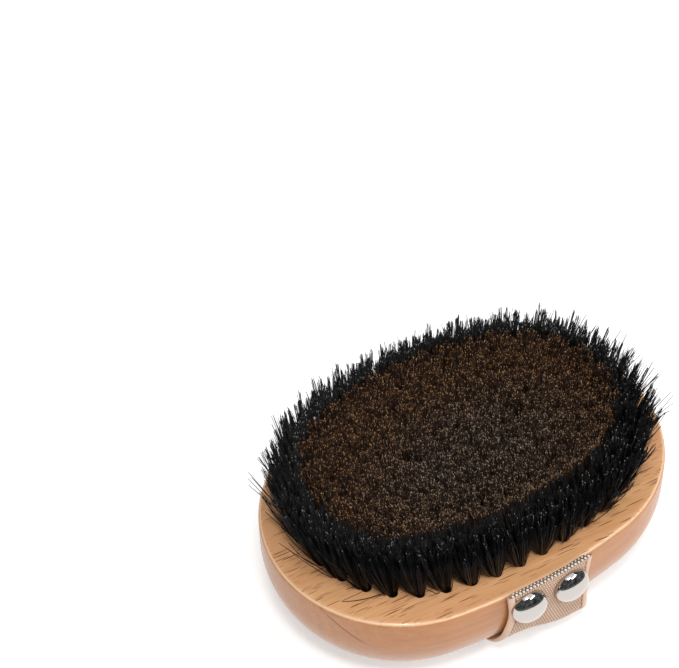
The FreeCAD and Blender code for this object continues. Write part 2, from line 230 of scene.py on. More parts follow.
print("growth rings %.0f mm apart" % (math.tau / 20 / RING_SCALE * RING_UNIT / MM))

# %% [markdown]
# ### Pores
#
# The dashes are cells of a Voronoi texture, squeezed across the grain and stretched
# along it.  One cell holds one dash, and only some cells have one.  Long dashes and
# short, fainter ones are laid over each other.

# %% The pores
DASH_SPACING = 0.62 * MM
DASH_LENGTH = 14.0 * MM


def dashes(tree, spacing, length, share, seed):
    """How dark a dash is, 0 to 1, where this share of the cells may hold one."""
    space = grain_space(tree, spacing, length)
    sway = add_node(tree, "ShaderNodeTexNoise", {"Vector": space.outputs[0], "Scale": 0.35})
    swayed = add_node(tree, "ShaderNodeMixRGB", {
        "Fac": 0.35, "Color1": space.outputs[0], "Color2": sway.outputs["Color"]},
        blend_type="LINEAR_LIGHT")
    cells = add_node(tree, "ShaderNodeMapping", {
        "Vector": swayed.outputs[0], "Location": (seed, seed * 2.3, seed * 5.1)})
    cell = add_node(tree, "ShaderNodeTexVoronoi", {
        "Vector": cells.outputs[0], "Scale": 1.0, "Randomness": 1.0})
    core = add_node(tree, "ShaderNodeMapRange", {
        "Value": cell.outputs["Distance"], "From Min": 0.20, "From Max": 0.26,
        "To Min": 1.0, "To Max": 0.0})
    lot = add_node(tree, "ShaderNodeSeparateColor", {"Color": cell.outputs["Color"]})
    chosen = add_node(tree, "ShaderNodeMapRange", {
        "Value": lot.outputs[0], "From Min": 1 - share, "From Max": 1.25 - share})
    return add_node(tree, "ShaderNodeMath", {
        0: core.outputs[0], 1: chosen.outputs[0]}, operation="MULTIPLY").outputs[0]


def beech_pores(tree):
    """How dark the pores are, 0 to 1."""
    long_dashes = dashes(tree, DASH_SPACING, DASH_LENGTH, share=0.8, seed=3.0)
    short_dashes = dashes(tree, DASH_SPACING * 0.8, DASH_LENGTH * 0.5, share=0.6, seed=11.0)
    faint = add_node(tree, "ShaderNodeMath", {0: short_dashes, 1: 0.7}, operation="MULTIPLY")
    return add_node(tree, "ShaderNodeMath", {
        0: long_dashes, 1: faint.outputs[0]}, operation="MAXIMUM").outputs[0]


print("a dash about every %.1f mm across the grain" % (DASH_SPACING / MM))

# %% [markdown]
# ### A painted rim highlight and painted side shade
#
# How steep the surface is tells the places apart.  On the rounded rim a pale band is
# painted in: a painted highlight along the edge.  The upright side is painted darker:
# painted shade.  It is sanded finer and sealed, too, so there the dashes are faded,
# which also hides that a solid texture shows them as dots.

# %% The beech material
def painted_rim_highlight(tree, upward):
    """How strong the painted rim highlight is, 0 to 1, by how far upward the surface faces."""
    slope = add_node(tree, "ShaderNodeMapRange", {"Value": upward, "From Min": 0.50, "From Max": 0.68})
    level = add_node(tree, "ShaderNodeMapRange", {
        "Value": upward, "From Min": 0.82, "From Max": 0.94, "To Min": 1.0, "To Max": 0.0})
    edge = add_node(tree, "ShaderNodeMath", {
        0: slope.outputs[0], 1: level.outputs[0]}, operation="MULTIPLY")
    return add_node(tree, "ShaderNodeMath", {0: edge.outputs[0], 1: 0.65}, operation="MULTIPLY").outputs[0]


def beech():
    """Beech under a satin lacquer: ground, growth line, pores, then a painted rim highlight and painted
    side shade.
    """
    material, tree, shader = new_material(
        "satin_lacquered_beech", IOR=1.5, Coat_Weight=0.45, Coat_Roughness=0.14, Coat_IOR=1.5)
    fibres = add_node(tree, "ShaderNodeTexNoise", {
        "Vector": grain_space(tree, FIBRE_SPACING, FIBRE_LENGTH).outputs[0],
        "Scale": 1.0, "Detail": 3.0, "Roughness": 0.6}).outputs["Fac"]
    pores = beech_pores(tree)
    surface = add_node(tree, "ShaderNodeNewGeometry")
    facing = add_node(tree, "ShaderNodeSeparateXYZ", {0: surface.outputs["Normal"]})
    flatness = add_node(tree, "ShaderNodeMath", {0: facing.outputs["Z"]}, operation="ABSOLUTE")
    ringed = add_node(tree, "ShaderNodeMixRGB", {
        "Fac": growth_line(tree), "Color1": beech_ground(tree, fibres), "Color2": linear("#8f5429")})
    shown = add_node(tree, "ShaderNodeMapRange", {
        "Value": flatness.outputs[0], "From Min": 0.3, "From Max": 0.8, "To Min": 0.12, "To Max": 1.0})
    dark = add_node(tree, "ShaderNodeMath", {0: pores, 1: shown.outputs[0]}, operation="MULTIPLY")
    pored = add_node(tree, "ShaderNodeMixRGB", {
        "Fac": dark.outputs[0], "Color1": ringed.outputs[0], "Color2": linear("#74401f")})
    # A pale band along the rounded rim, #f4d6b2: a painted highlight.
    worn = add_node(tree, "ShaderNodeMixRGB", {
        "Fac": painted_rim_highlight(tree, facing.outputs["Z"]), "Color1": pored.outputs[0],
        "Color2": linear("#f4d6b2")})
    # The upright side is multiplied by #e6cfb0 to darken it: painted shade.
    upright = add_node(tree, "ShaderNodeMapRange", {
        "Value": flatness.outputs[0], "From Min": 0.3, "From Max": 0.75, "To Min": 1.0, "To Max": 0.0})
    side_shaded = add_node(tree, "ShaderNodeMixRGB", {
        "Fac": upright.outputs[0], "Color1": worn.outputs[0], "Color2": linear("#e6cfb0")},
        blend_type="MULTIPLY")
    tree.links.new(side_shaded.outputs[0], shader.inputs["Base Color"])
    polish = add_node(tree, "ShaderNodeMapRange", {
        "Value": fibres, "From Min": 0.3, "From Max": 0.7, "To Min": 0.38, "To Max": 0.50})
    tree.links.new(polish.outputs[0], shader.inputs["Roughness"])
    depth = add_node(tree, "ShaderNodeMath", {0: fibres, 1: pores}, operation="SUBTRACT")
    relief = add_node(tree, "ShaderNodeBump", {
        "Strength": 0.25, "Distance": 0.05 * MM, "Height": depth.outputs[0]})
    tree.links.new(relief.outputs[0], shader.inputs["Normal"])
    return material


beech_material = beech()
print("beech made of %d nodes" % len(beech_material.node_tree.nodes))

# %% [markdown]
# ## The block
#
# The block is one piece of wood.  From above it is an oval of four arcs that run into
# each other: two long sides and two ends.  In section it has a flat back with a crisp
# edge, a broad rounding, a short upright side and a small rounding at the rim of the
# bristle face.  It could be a cube with bevels, or the CAD solid, but the cleanest way
# is to sweep the section round the oval: each point of the section is the same oval,
# drawn in by some inset.  Crisp edges get a tiny rounding, because that is where a
# real edge catches the light.

# %% Measure the block
wood_low, wood_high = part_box("wood_body")
HALF_WIDTH, HALF_LENGTH = wood_high.x, wood_high.y
BACK, FACE = wood_low.z, wood_high.z
SIDE_RADIUS = 180 * MM
END_RADIUS = ((2 * SIDE_RADIUS * HALF_WIDTH - HALF_WIDTH ** 2 - HALF_LENGTH ** 2)
              / (2 * (SIDE_RADIUS - HALF_LENGTH)))
ROUND_HEIGHT = 17.5 * MM
ROUND_INSET = 6.5 * MM
ROUND_RADIUS = (ROUND_HEIGHT ** 2 + ROUND_INSET ** 2) / (2 * ROUND_INSET)
RIM_RADIUS = 1.5 * MM
EDGE_WIDTH = 0.6 * MM
SIDE_STEPS, END_STEPS = 24, 64
ROUND_STEPS, RIM_STEPS, EDGE_STEPS = 14, 6, 4
print("block %.1f x %.1f x %.1f mm" % (
    2 * HALF_WIDTH / MM, 2 * HALF_LENGTH / MM, (FACE - BACK) / MM))


# %% The oval and the section
def oval(inset):
    """The block's outline from above, drawn in by the inset, anticlockwise."""
    shift, reach = SIDE_RADIUS - HALF_WIDTH, HALF_LENGTH - END_RADIUS
    turn = math.atan2(reach, shift)
    arcs = [(-shift, 0, SIDE_RADIUS, -turn, 2 * turn, SIDE_STEPS),
            (0, reach, END_RADIUS, turn, math.pi - 2 * turn, END_STEPS),
            (shift, 0, SIDE_RADIUS, math.pi - turn, 2 * turn, SIDE_STEPS),
            (0, -reach, END_RADIUS, math.pi + turn, math.pi - 2 * turn, END_STEPS)]
    return [(x + (radius - inset) * math.cos(start + sweep * step / steps),
             y + (radius - inset) * math.sin(start + sweep * step / steps))
            for x, y, radius, start, sweep, steps in arcs for step in range(steps)]


def block_section():
    """(inset, height) of the section, from the flat back up to the bristle face."""
    lowest = math.asin(ROUND_HEIGHT / ROUND_RADIUS) - EDGE_WIDTH / ROUND_RADIUS

    def on_rounding(angle):
        """(inset, height) on the broad rounding, this far down from the upright side."""
        return (ROUND_RADIUS * (1 - math.cos(angle)),
                BACK + ROUND_HEIGHT - ROUND_RADIUS * math.sin(angle))

    section = [(ROUND_INSET + 2 * EDGE_WIDTH, BACK)]
    begin, corner = (ROUND_INSET + EDGE_WIDTH, BACK), (ROUND_INSET, BACK)
    finish = on_rounding(lowest)
    for step in range(EDGE_STEPS):
        share = step / EDGE_STEPS
        section.append(tuple(begin[axis] * (1 - share) ** 2 + 2 * corner[axis] * share * (1 - share)
                             + finish[axis] * share ** 2 for axis in (0, 1)))
    for step in range(ROUND_STEPS + 1):
        section.append(on_rounding(lowest * (1 - step / ROUND_STEPS)))
    for step in range(RIM_STEPS + 1):
        angle = math.radians(90 * step / RIM_STEPS)
        section.append((RIM_RADIUS * (1 - math.cos(angle)), FACE - RIM_RADIUS * (1 - math.sin(angle))))
    section.append((RIM_RADIUS + EDGE_WIDTH, FACE))
    return section


section = block_section()
print("section of %d points, swept round %d places" % (len(section), len(oval(0))))

# %% [markdown]
# ## Where the tufts stand
#
# Each tuft is folded over a short flat wire that lies across the bottom of its bore.
# Those anchors are in the CAD model, so they tell where every tuft is and which way
# is outward there: across the wire, away from the middle of the brush.

# %% Read the anchors
ROW_COUNT = 6


def anchor_spots(node):
    """Centre and outward direction, in plan, of every wire anchor in a CAD node."""
    wires = bmesh.new()
    wires.from_mesh(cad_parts[node].data)
    bmesh.ops.remove_doubles(wires, verts=wires.verts, dist=0.01 * MM)
    wires.verts.ensure_lookup_table()
    seen, spots = set(), []
    for start in wires.verts:
        if start.index in seen:
            continue
        island, queue = [], [start]
        seen.add(start.index)
        while queue:
            corner = queue.pop()
            island.append(corner.co.copy())
            for edge in corner.link_edges:
                other = edge.other_vert(corner)
                if other.index not in seen:
                    seen.add(other.index)
                    queue.append(other)
        plan = np.array([corner.xy for corner in island])
        centre = (plan.min(0) + plan.max(0)) / 2
        outward = np.linalg.svd(plan - plan.mean(0))[2][1]
        spots.append((centre, outward if outward @ centre > 0 else -outward))
    wires.free()
    return sorted(spots, key=lambda spot: math.atan2(spot[0][1], spot[0][0]))


tuft_rows = [anchor_spots("anchor_row_%d" % row) for row in range(1, ROW_COUNT + 1)]
bore_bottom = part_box("anchor_row_1")[0].z
print("tufts in each row, from the outside in:", [len(row) for row in tuft_rows])

# %% [markdown]
# ## Bore the face
#
# The face has one hole for each tuft, its lip broken by the drill.  A Boolean could
# cut them, but it leaves long slivers in a face with 130 holes.  A constrained
# Delaunay triangulation fills the face between the rim and the holes instead, so the
# block stays one seamless skin.
#
# Many pieces here are stacks of rings, so three small helpers come first.  They give the
# points of a level circle and the faces between two rings, and close the finished skin.

# %% Circles, walls and skins
def circle(radius, sides, height=0.0, centre=(0.0, 0.0)):
    """Points of a level circle, anticlockwise from +X."""
    return [(centre[0] + radius * math.cos(math.tau * side / sides),
             centre[1] + radius * math.sin(math.tau * side / sides), height) for side in range(sides)]


def walls(first, second, count):
    """Faces between two rings that start at these points."""
    return [(first + side, first + (side + 1) % count, second + (side + 1) % count, second + side)
            for side in range(count)]


def close_skin(piece):
    """Turn every face outward, and count the edges that are still open."""
    skin = bmesh.new()
    skin.from_mesh(piece.data)
    bmesh.ops.recalc_face_normals(skin, faces=skin.faces)
    print("open edges:", sum(not edge.is_manifold for edge in skin.edges))
    skin.to_mesh(piece.data)
    skin.free()


# %% Fill the face between the bores
BORE_RADIUS = 1.65 * MM
LIP = 0.25 * MM
BORE_SIDES = 20
SAME_POINT = 1e-9


def face_plate(outline, spots):
    """Triangles between the face's outline and the lips of the bores, none inside a bore."""
    lips = [circle(BORE_RADIUS + LIP, BORE_SIDES, FACE, spot) for spot in spots]
    rings = [outline] + lips
    points = [Vector(point[:2]) for ring in rings for point in ring]
    edges, first = [], 0
    for ring in rings:
        edges += [(first + side, first + (side + 1) % len(ring)) for side in range(len(ring))]
        first += len(ring)
    _, _, triangles, origin, _, _ = delaunay_2d_cdt(points, edges, [], 0, SAME_POINT)
    kept = []
    for triangle in triangles:
        corners = [origin[corner][0] for corner in triangle]
        bores = {(corner - len(outline)) // BORE_SIDES for corner in corners}
        if min(corners) < len(outline) or len(bores) > 1:
            kept.append(tuple(corners))
    return kept


print("bores %.1f mm wide, %.1f mm deep" % (2 * BORE_RADIUS / MM, (FACE - bore_bottom) / MM))

# %% [markdown]
# The rings of the section, the plate and the bores are then joined in one mesh.  Its
# level faces are shaded flat: smooth shading would carry the tilt of the lips across
# the long triangles, as streaks on the face.

# %% Build the block
LEVEL = 0.999


def beech_block():
    """The whole skin of the block, bored."""
    spots = [centre for row in tuft_rows for centre, outward in row]
    points = [(x, y, height) for inset, height in section for x, y in oval(inset)]
    around = len(oval(0))
    faces = [tuple(reversed(range(around)))]
    for step in range(len(section) - 1):
        faces += walls(step * around, (step + 1) * around, around)
    rim = len(points) - around
    plate = face_plate(points[rim:], spots)
    for spot in spots:
        points += circle(BORE_RADIUS + LIP, BORE_SIDES, FACE, spot)
    faces += [tuple(rim + corner for corner in triangle) for triangle in plate]
    for number, spot in enumerate(spots):
        lip = rim + around + number * BORE_SIDES
        mouth, bottom = len(points), len(points) + BORE_SIDES
        points += circle(BORE_RADIUS, BORE_SIDES, FACE - LIP, spot)
        points += circle(BORE_RADIUS, BORE_SIDES, bore_bottom, spot)
        faces += walls(mouth, lip, BORE_SIDES) + walls(bottom, mouth, BORE_SIDES)
        faces.append(tuple(bottom + side for side in range(BORE_SIDES)))
    block = new_piece("beech_block", points, faces, beech_material)
    close_skin(block)
    for side in block.data.polygons:
        side.use_smooth = abs(side.normal.z) < LEVEL
    block.data.set_sharp_from_angle(angle=math.radians(35))
    return block


block = beech_block()
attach(block, "brush")
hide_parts("wood_body")

# %% [markdown]
# ## Bristle
#
# A bristle is a hair of keratin, clear to brown, with a soft gloss along its length.
# The rim is dyed black.  The field inside it is dark brown, and here and there a hair
# is much paler and glints like bronze.  Each hair has its own tone.  A brown one is
# darkest at its root, with dust and painted shade among the crowded feet, and a black
# one is browner there, where the dye hardly reaches, with painted highlights on its
# palest strands.
#
# The tone and the height along the hair are kept in a UV map: tone across, height up.
# Three colour ramps read the tone, for the root, the shaft and the cut tip, and the
# height blends them.  The tips matter most: a cut hair is split at its end, and its
# pale tip stops are painted highlights, glints, so from above the field is a fine
# speckle of pale points over dark.
# Handling has rubbed the middle of the field a little grey, so a tint grows outward.

# %% How bristle is coloured
TIP_SHARE = 0.024
RUBBED_MIDDLE = (8 * MM, 0.0)
RUBBED_REACH = (26 * MM, 42 * MM)


def rubbed_tint(tree, colour, outer_tint):
    """The colour as it is in the rubbed middle of the field, and tinted further out."""
    place = add_node(tree, "ShaderNodeTexCoord")
    plan = add_node(tree, "ShaderNodeMapping", {
        "Vector": place.outputs["Object"],
        "Location": [-RUBBED_MIDDLE[0] / RUBBED_REACH[0], -RUBBED_MIDDLE[1] / RUBBED_REACH[1], 0],
        "Scale": [1 / RUBBED_REACH[0], 1 / RUBBED_REACH[1], 0]})
    from_middle = add_node(tree, "ShaderNodeVectorMath", {0: plan.outputs[0]}, operation="LENGTH")
    unrubbed = add_node(tree, "ShaderNodeMapRange", {
        "Value": from_middle.outputs["Value"], "From Min": 0.4, "From Max": 1.1})
    return add_node(tree, "ShaderNodeMixRGB", {
        "Fac": unrubbed.outputs[0], "Color1": colour, "Color2": linear(outer_tint)},
        blend_type="MULTIPLY").outputs[0]


def bristle(name, root, shaft, tip, outer_tint, roughness, specular):
    """A bristle material; root, shaft and tip are stops from the darkest hair to the palest, and the pale
    tip stops are painted highlights.
    """
    material, tree, shader = new_material(
        name, IOR=1.55, Roughness=roughness, Specular_IOR_Level=specular)
    chart = add_node(tree, "ShaderNodeUVMap", uv_map="OFBake")
    axes = add_node(tree, "ShaderNodeSeparateXYZ", {0: chart.outputs[0]})
    at_root, on_shaft, at_tip = [
        add_node(tree, "ShaderNodeValToRGB", {"Fac": axes.outputs["X"]}, stops=tones).outputs[0]
        for tones in (root, shaft, tip)]
    # The root stops take over near the foot: darker for brown hair, as painted shade among the crowded feet
    # with dust, and browner for black hair, with painted highlights on its palest strands.
    low = add_node(tree, "ShaderNodeMapRange", {
        "Value": axes.outputs["Y"], "From Min": 0.10, "From Max": 0.45, "To Min": 1.0, "To Max": 0.0})
    rooted = add_node(tree, "ShaderNodeMixRGB", {
        "Fac": low.outputs[0], "Color1": on_shaft, "Color2": at_root})
    # The tip stops take over at the cut end; their pale end is a painted highlight, glints on the tips.
    high = add_node(tree, "ShaderNodeMapRange", {
        "Value": axes.outputs["Y"], "From Min": 1 - TIP_SHARE, "From Max": 1 - TIP_SHARE / 3})
    tipped = add_node(tree, "ShaderNodeMixRGB", {
        "Fac": high.outputs[0], "Color1": rooted.outputs[0], "Color2": at_tip})
    tinted = rubbed_tint(tree, tipped.outputs[0], outer_tint)
    tree.links.new(tinted, shader.inputs["Base Color"])
    return material


print("tips take the last %.1f%% of a hair" % (100 * TIP_SHARE))

# %% The two bristle materials
# In the black ramps the pale end of the root stops is painted highlights on single strands at the feet, and
# the pale end of the tip stops is painted glints.
black_bristle = bristle(
    "dyed_boar_bristle",
    root=[(0.0, "#120a08"), (0.65, "#21130d"), (0.88, "#503729"), (1.0, "#a3866e")],
    shaft=[(0.0, "#050505"), (0.7, "#09090a"), (0.92, "#171717"), (1.0, "#454240")],
    tip=[(0.0, "#070708"), (0.62, "#141415"), (0.90, "#3c3b3a"), (1.0, "#e8e4df")],
    outer_tint="#f4f6fb", roughness=0.42, specular=0.15)
# In the brown ramps the dark root stops are painted shade among the feet, with dust, and the pale end of
# the tip stops is painted highlights on the cut tips.
brown_bristle = bristle(
    "horsehair_and_bronze",
    root=[(0.0, "#070403"), (1.0, "#130b07")],
    shaft=[(0.0, "#080605"), (0.55, "#180f09"), (0.9, "#302014"), (1.0, "#5c4129")],
    tip=[(0.0, "#1a120d"), (0.40, "#44342a"), (0.78, "#7d6754"), (1.0, "#dccab2")],
    outer_tint="#ffe0b8", roughness=0.55, specular=0.12)
print("bristle:", black_bristle.name, "and", brown_bristle.name)

# %% [markdown]
# ## The bristle field
#
# Particle hair would be quick, but it isn't a mesh, so it would be lost when the brush
# is used elsewhere.  Here every hair is a thin three-sided rod.  It starts in its bore,
# bunched tight, and fans out as it rises, keeping its place in the tuft.  The rim fans
# both outward, over the wood, and inward, over the first brown row.  Hairs stick
# together at their tips in small locks: each lock joins the hairs nearest to it, and
# those furthest from its middle end lower, which gives it a point.  A few locks stand
# apart, and so do a few single hairs, most of these at the ends of the brush, but none
# strays far past the block.  The whole field has been stroked a little to one side and
# round.  The brown tufts are crowned, so that each still shows.  All draws are seeded.

# %% Where hairs start and end
BRISTLE_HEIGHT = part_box("tuft_row_1")[1].z - FACE
FOOT_RADIUS = 1.4 * MM
FOOT_DEPTH = 1.2 * MM
BEARINGS = np.radians(np.arange(0, 361, 45))
STRAYS_AT_SIDES, STRAYS_ADDED_AT_ENDS = 0.3, 1.4
STRAY_OUTWARD, STRAY_SWERVE = 3.0 * MM, 1.8 * MM
STRAY_HEIGHTS = (0.7, 1.0)
STRAY_STOUTNESS = 1.3
STRAY_LIMIT = np.array([49 * MM, 66.5 * MM])
LOCK_APART = (1.0 * MM, 4.0 * MM)
LOCK_REACH = 1.5 * MM
STROKED = np.array([-2.0 * MM, 0.7 * MM])
TURNED_FRONT, TURNED_REAR = 0.09, 0.06
LOST_BY_LEANING = 0.2
CUT_UNEVENNESS = 0.2 * MM


def at_bearing(outward, reaches):
    """A reach that a style lists for eight bearings, read at the tuft's own bearing."""
    bearing = math.atan2(outward[1], outward[0]) % math.tau
    return np.interp(bearing, BEARINGS, reaches + reaches[:1]) * MM


def hair_paths(tufts, style, random):
    """Foot, tip and stoutness of every hair, as arrays."""
    feet, tips, stout = [], [], []
    count, locks = style["hairs"], style["locks"]
    for centre, outward in tufts:
        sideways = np.array([-outward[1], outward[0]])
        angle = random.uniform(0, math.tau, count)
        reach = np.sqrt(random.uniform(0, 1, count))
        out, side = reach * np.cos(angle), reach * np.sin(angle)
        strays_here = STRAYS_AT_SIDES + STRAYS_ADDED_AT_ENDS * outward[1] ** 2
        stray = random.uniform(0, 1, count) < style["strays"] * strays_here
        fan = np.where(out > 0, at_bearing(outward, style["outward"]), at_bearing(outward, style["inward"]))
        plan = np.column_stack([out * fan, side * style["sideways"]])
        # Each hair joins the lock of the leader that is nearest to it.
        leaders = plan[:locks]
        gaps = np.linalg.norm(plan[:, None] - leaders[None], axis=2)
        nearest, gap = gaps.argmin(1), gaps.min(1)
        sway = random.normal(0, style["sway"], leaders.shape)
        apart = random.uniform(0, 1, locks) < style["apart"]
        sway[:, 0] += np.where(apart, random.uniform(*LOCK_APART, locks), 0)
        pull = np.where(out > 0, style["pull"], style["inner_pull"])[:, None]
        plan += (leaders[nearest] - plan) * pull + sway[nearest]
        plan += random.normal(0, style["scatter"], (count, 2))
        swerve = random.normal(0, STRAY_SWERVE, (count, 2)) + np.array([STRAY_OUTWARD, 0])
        plan += np.where(stray[:, None], swerve, 0)
        foot = centre + np.outer(out, outward) * FOOT_RADIUS + np.outer(side, sideways) * FOOT_RADIUS
        tip = centre + np.outer(plan[:, 0], outward) + np.outer(plan[:, 1], sideways)
        turned = TURNED_REAR if centre[1] > 0 else TURNED_FRONT
        tip += STROKED + turned * np.array([centre[1], -centre[0]])
        tip = np.clip(tip, -STRAY_LIMIT, STRAY_LIMIT)
        trimmed = random.normal(0, style["ragged"], locks)[nearest]
        trimmed = trimmed + random.normal(0, CUT_UNEVENNESS, count)
        slant = np.hypot(*(tip - foot).T)
        height = BRISTLE_HEIGHT - LOST_BY_LEANING * slant ** 2 / BRISTLE_HEIGHT - np.abs(trimmed)
        height -= style["point"] * np.minimum(gap, LOCK_REACH) + style["crown"] * reach ** 2
        height *= np.where(stray, random.uniform(*STRAY_HEIGHTS, count), 1)
        feet.append(np.column_stack([foot, np.full(count, FACE - FOOT_DEPTH)]))
        tips.append(np.column_stack([tip, FACE + height]))
        stout.append(np.where(stray, STRAY_STOUTNESS, 1))
    return np.concatenate(feet), np.concatenate(tips), np.concatenate(stout)


print("bristles stand %.0f mm above the face" % (BRISTLE_HEIGHT / MM))

# %% [markdown]
# Each hair is then a rod of a few rings along a bowed line, three points to a ring.
# Its faces go into one mesh with those of its row, and its tone and the height along
# it into the UV map, where each side of a rod gets a narrow strip.
#
# Real bristle is about 0.15 mm thick.  It is drawn thicker here, about 0.2 mm, so that
# single hairs still show from an arm's length.

# %% Grow the hairs
HAIR_SIDES = 3
STRIP_WIDTH = 0.004
PALEST_TONE = 0.98


def hair_field(name, tufts, style, material, seed):
    """One mesh with every hair of these tufts."""
    random = np.random.default_rng(seed)
    foot, tip, stout = hair_paths(tufts, style, random)
    count = len(foot)
    rise = tip - foot
    axis = rise / np.linalg.norm(rise, axis=1, keepdims=True)
    first = np.cross(axis, [0.0, 1.0, 0.0])
    first /= np.linalg.norm(first, axis=1, keepdims=True)
    second = np.cross(axis, first)
    bow = random.normal(0, style["bow"], (count, 2))
    radius = random.uniform(*style["radius"], count) * stout
    phase = random.uniform(0, math.tau, count)
    points = np.empty((count, len(style["rings"]), HAIR_SIDES, 3))
    for ring, (share, taper) in enumerate(style["rings"]):
        middle = foot + rise * share
        middle[:, :2] = foot[:, :2] + rise[:, :2] * share ** style["curve"]
        middle[:, :2] += bow * math.sin(math.pi * share)
        for side in range(HAIR_SIDES):
            turn = phase + math.tau * side / HAIR_SIDES
            around = first * np.cos(turn)[:, None] + second * np.sin(turn)[:, None]
            points[:, ring, side] = middle + around * (radius * taper)[:, None]
    tone = random.uniform(0, PALEST_TONE, count)
    return hair_mesh(name, points, tone, [share for share, taper in style["rings"]], material)


def hair_mesh(name, points, tone, heights, material):
    """Join the rings of every hair with faces, and write tone and height to the UV map."""
    count, rings, sides = points.shape[:3]
    one, chart = [], []
    for ring in range(rings - 1):
        one += walls(ring * sides, (ring + 1) * sides, sides)
        for side in range(sides):
            left, right = side * STRIP_WIDTH, (side + 1) * STRIP_WIDTH
            chart += [(left, heights[ring]), (right, heights[ring]),
                      (right, heights[ring + 1]), (left, heights[ring + 1])]
    one += [(2, 1, 0), tuple(range((rings - 1) * sides, rings * sides))]
    chart += [(0, 0), (STRIP_WIDTH, 0), (0, STRIP_WIDTH)]
    chart += [(0, 1 - STRIP_WIDTH), (STRIP_WIDTH, 1 - STRIP_WIDTH), (0, 1)]
    starts = (np.arange(count) * rings * sides)[:, None]
    corners = [(starts + np.array(face)).tolist() for face in one]
    faces = [tuple(face) for hair in zip(*corners) for face in hair]
    piece = new_piece(name, points.reshape(-1, 3).tolist(), faces, material)
    coordinates = np.repeat(np.array(chart)[None], count, axis=0)
    coordinates[:, :, 0] += tone[:, None]
    chart_layer = piece.data.uv_layers.new(name="OFBake")
    chart_layer.data.foreach_set("uv", coordinates.astype(np.float32).ravel())
    return piece


print("hairs are rods of %d sides" % HAIR_SIDES)

# %% [markdown]
# ### The rows
#
# How far a tuft fans outward and inward depends on which way it faces, so a style
# lists both, in mm, for eight bearings: +X first, then each 45 degrees round by +Y.
# The other lengths are in metres.  `pull` and `inner_pull` say how closely hairs gather
# in their locks, on the outer and inner side of a tuft, `sway` and `apart` how locks
# stray, `point`, `crown` and `ragged` how their ends are cut, and `rings` gives the
# share of the height and the taper at each ring of a rod.

# %% Set the rows
RIM_STYLE = {
    "outward": [6.3, 9.4, 9.8, 8.3, 4.8, 9.4, 8.0, 3.6],
    "inward": [9.4, 11.2, 2.2, 0.6, 0.2, 0.6, 3.5, 3.9],
    "hairs": 490, "sideways": 6.8 * MM, "scatter": 0.2 * MM, "strays": 0.04,
    "locks": 72, "pull": 0.80, "inner_pull": 0.35, "sway": 0.9 * MM, "apart": 0.14,
    "point": 1.3, "crown": 0.0, "ragged": 1.1 * MM,
    "bow": 0.4 * MM, "radius": (0.09 * MM, 0.135 * MM), "curve": 0.75,
    "rings": [(0.0, 0.75), (0.2, 1.0), (0.6, 1.0), (1.0, 0.65)]}
CORE_STYLE = {
    "outward": [4.8] * 8,
    "inward": [4.8] * 8,
    "hairs": 380, "sideways": 5.0 * MM, "scatter": 0.3 * MM, "strays": 0.0,
    "locks": 110, "pull": 0.30, "inner_pull": 0.30, "sway": 0.3 * MM, "apart": 0.0,
    "point": 0.5, "crown": 1.6 * MM, "ragged": 0.7 * MM,
    "bow": 0.5 * MM, "radius": (0.07 * MM, 0.12 * MM), "curve": 0.9,
    "rings": [(0.0, 0.6), (0.5, 1.0), (1.0, 0.8)]}
SECOND_STYLE = dict(CORE_STYLE, outward=[0.6, 0.4, 8.0, 6.8, 8.2, 7.0, 4.6, 4.4])
FIRST_SEED = 40


def set_bristles(name, tufts, style, material, row):
    """Grow the hairs of some tufts and let them stand for their CAD row."""
    hairs = hair_field(name, tufts, style, material, FIRST_SEED + row)
    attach(hairs, "brush")
    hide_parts("tuft_row_%d" % row)


front_rim = [spot for spot in tuft_rows[0] if spot[0][1] < 0]
rear_rim = [spot for spot in tuft_rows[0] if spot[0][1] >= 0]
set_bristles("black_bristles_front", front_rim, RIM_STYLE, black_bristle, 1)
set_bristles("black_bristles_rear", rear_rim, RIM_STYLE, black_bristle, 1)
for row in range(2, ROW_COUNT + 1):
    style = SECOND_STYLE if row == 2 else CORE_STYLE
    set_bristles("brown_bristles_%d" % row, tuft_rows[row - 1], style, brown_bristle, row)

# %% [markdown]
# ### Fallen hairs
#
# A new brush sheds.  Two rim hairs have slipped and lie across the wood, bowed, with
# one end still under the tufts.  Three points give each hair: where it starts, the
# point that its bow is pulled towards, and where it ends, thinner.

# %% Lay the fallen hairs
FALLEN_RADIUS = 0.20 * MM
FALLEN_TAPER = 0.6
FALLEN_STEPS = 7
FALLEN_TONES = [0.1, 0.2]
FALLEN_IN_MM = [((23.8, -40.5, 35.6), (24.4, -47.5, 34.9), (19.3, -55.2, 34.2)),
                ((17.2, -46.0, 35.2), (17.3, -49.5, 34.7), (16.2, -52.0, 34.2))]


def fallen_hairs():
    """One mesh with the fallen hairs."""
    rings = np.empty((len(FALLEN_IN_MM), FALLEN_STEPS, HAIR_SIDES, 3))
    shares = [step / (FALLEN_STEPS - 1) for step in range(FALLEN_STEPS)]
    for hair, (start, pull, end) in enumerate(np.array(FALLEN_IN_MM) * MM):
        for step, share in enumerate(shares):
            middle = start * (1 - share) ** 2 + pull * 2 * share * (1 - share) + end * share ** 2
            along = (pull - start) * (1 - share) + (end - pull) * share
            level = np.cross(along, [0.0, 0.0, 1.0])
            level /= np.linalg.norm(level)
            upright = np.cross(level, along / np.linalg.norm(along))
            for side in range(HAIR_SIDES):
                turn = math.tau * side / HAIR_SIDES
                around = level * math.cos(turn) + upright * math.sin(turn)
                rings[hair, step, side] = middle + around * (FALLEN_RADIUS * (1 - FALLEN_TAPER * share))
    return hair_mesh("fallen_hairs", rings, np.array(FALLEN_TONES), shares, black_bristle)


fallen = fallen_hairs()
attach(fallen, "brush")

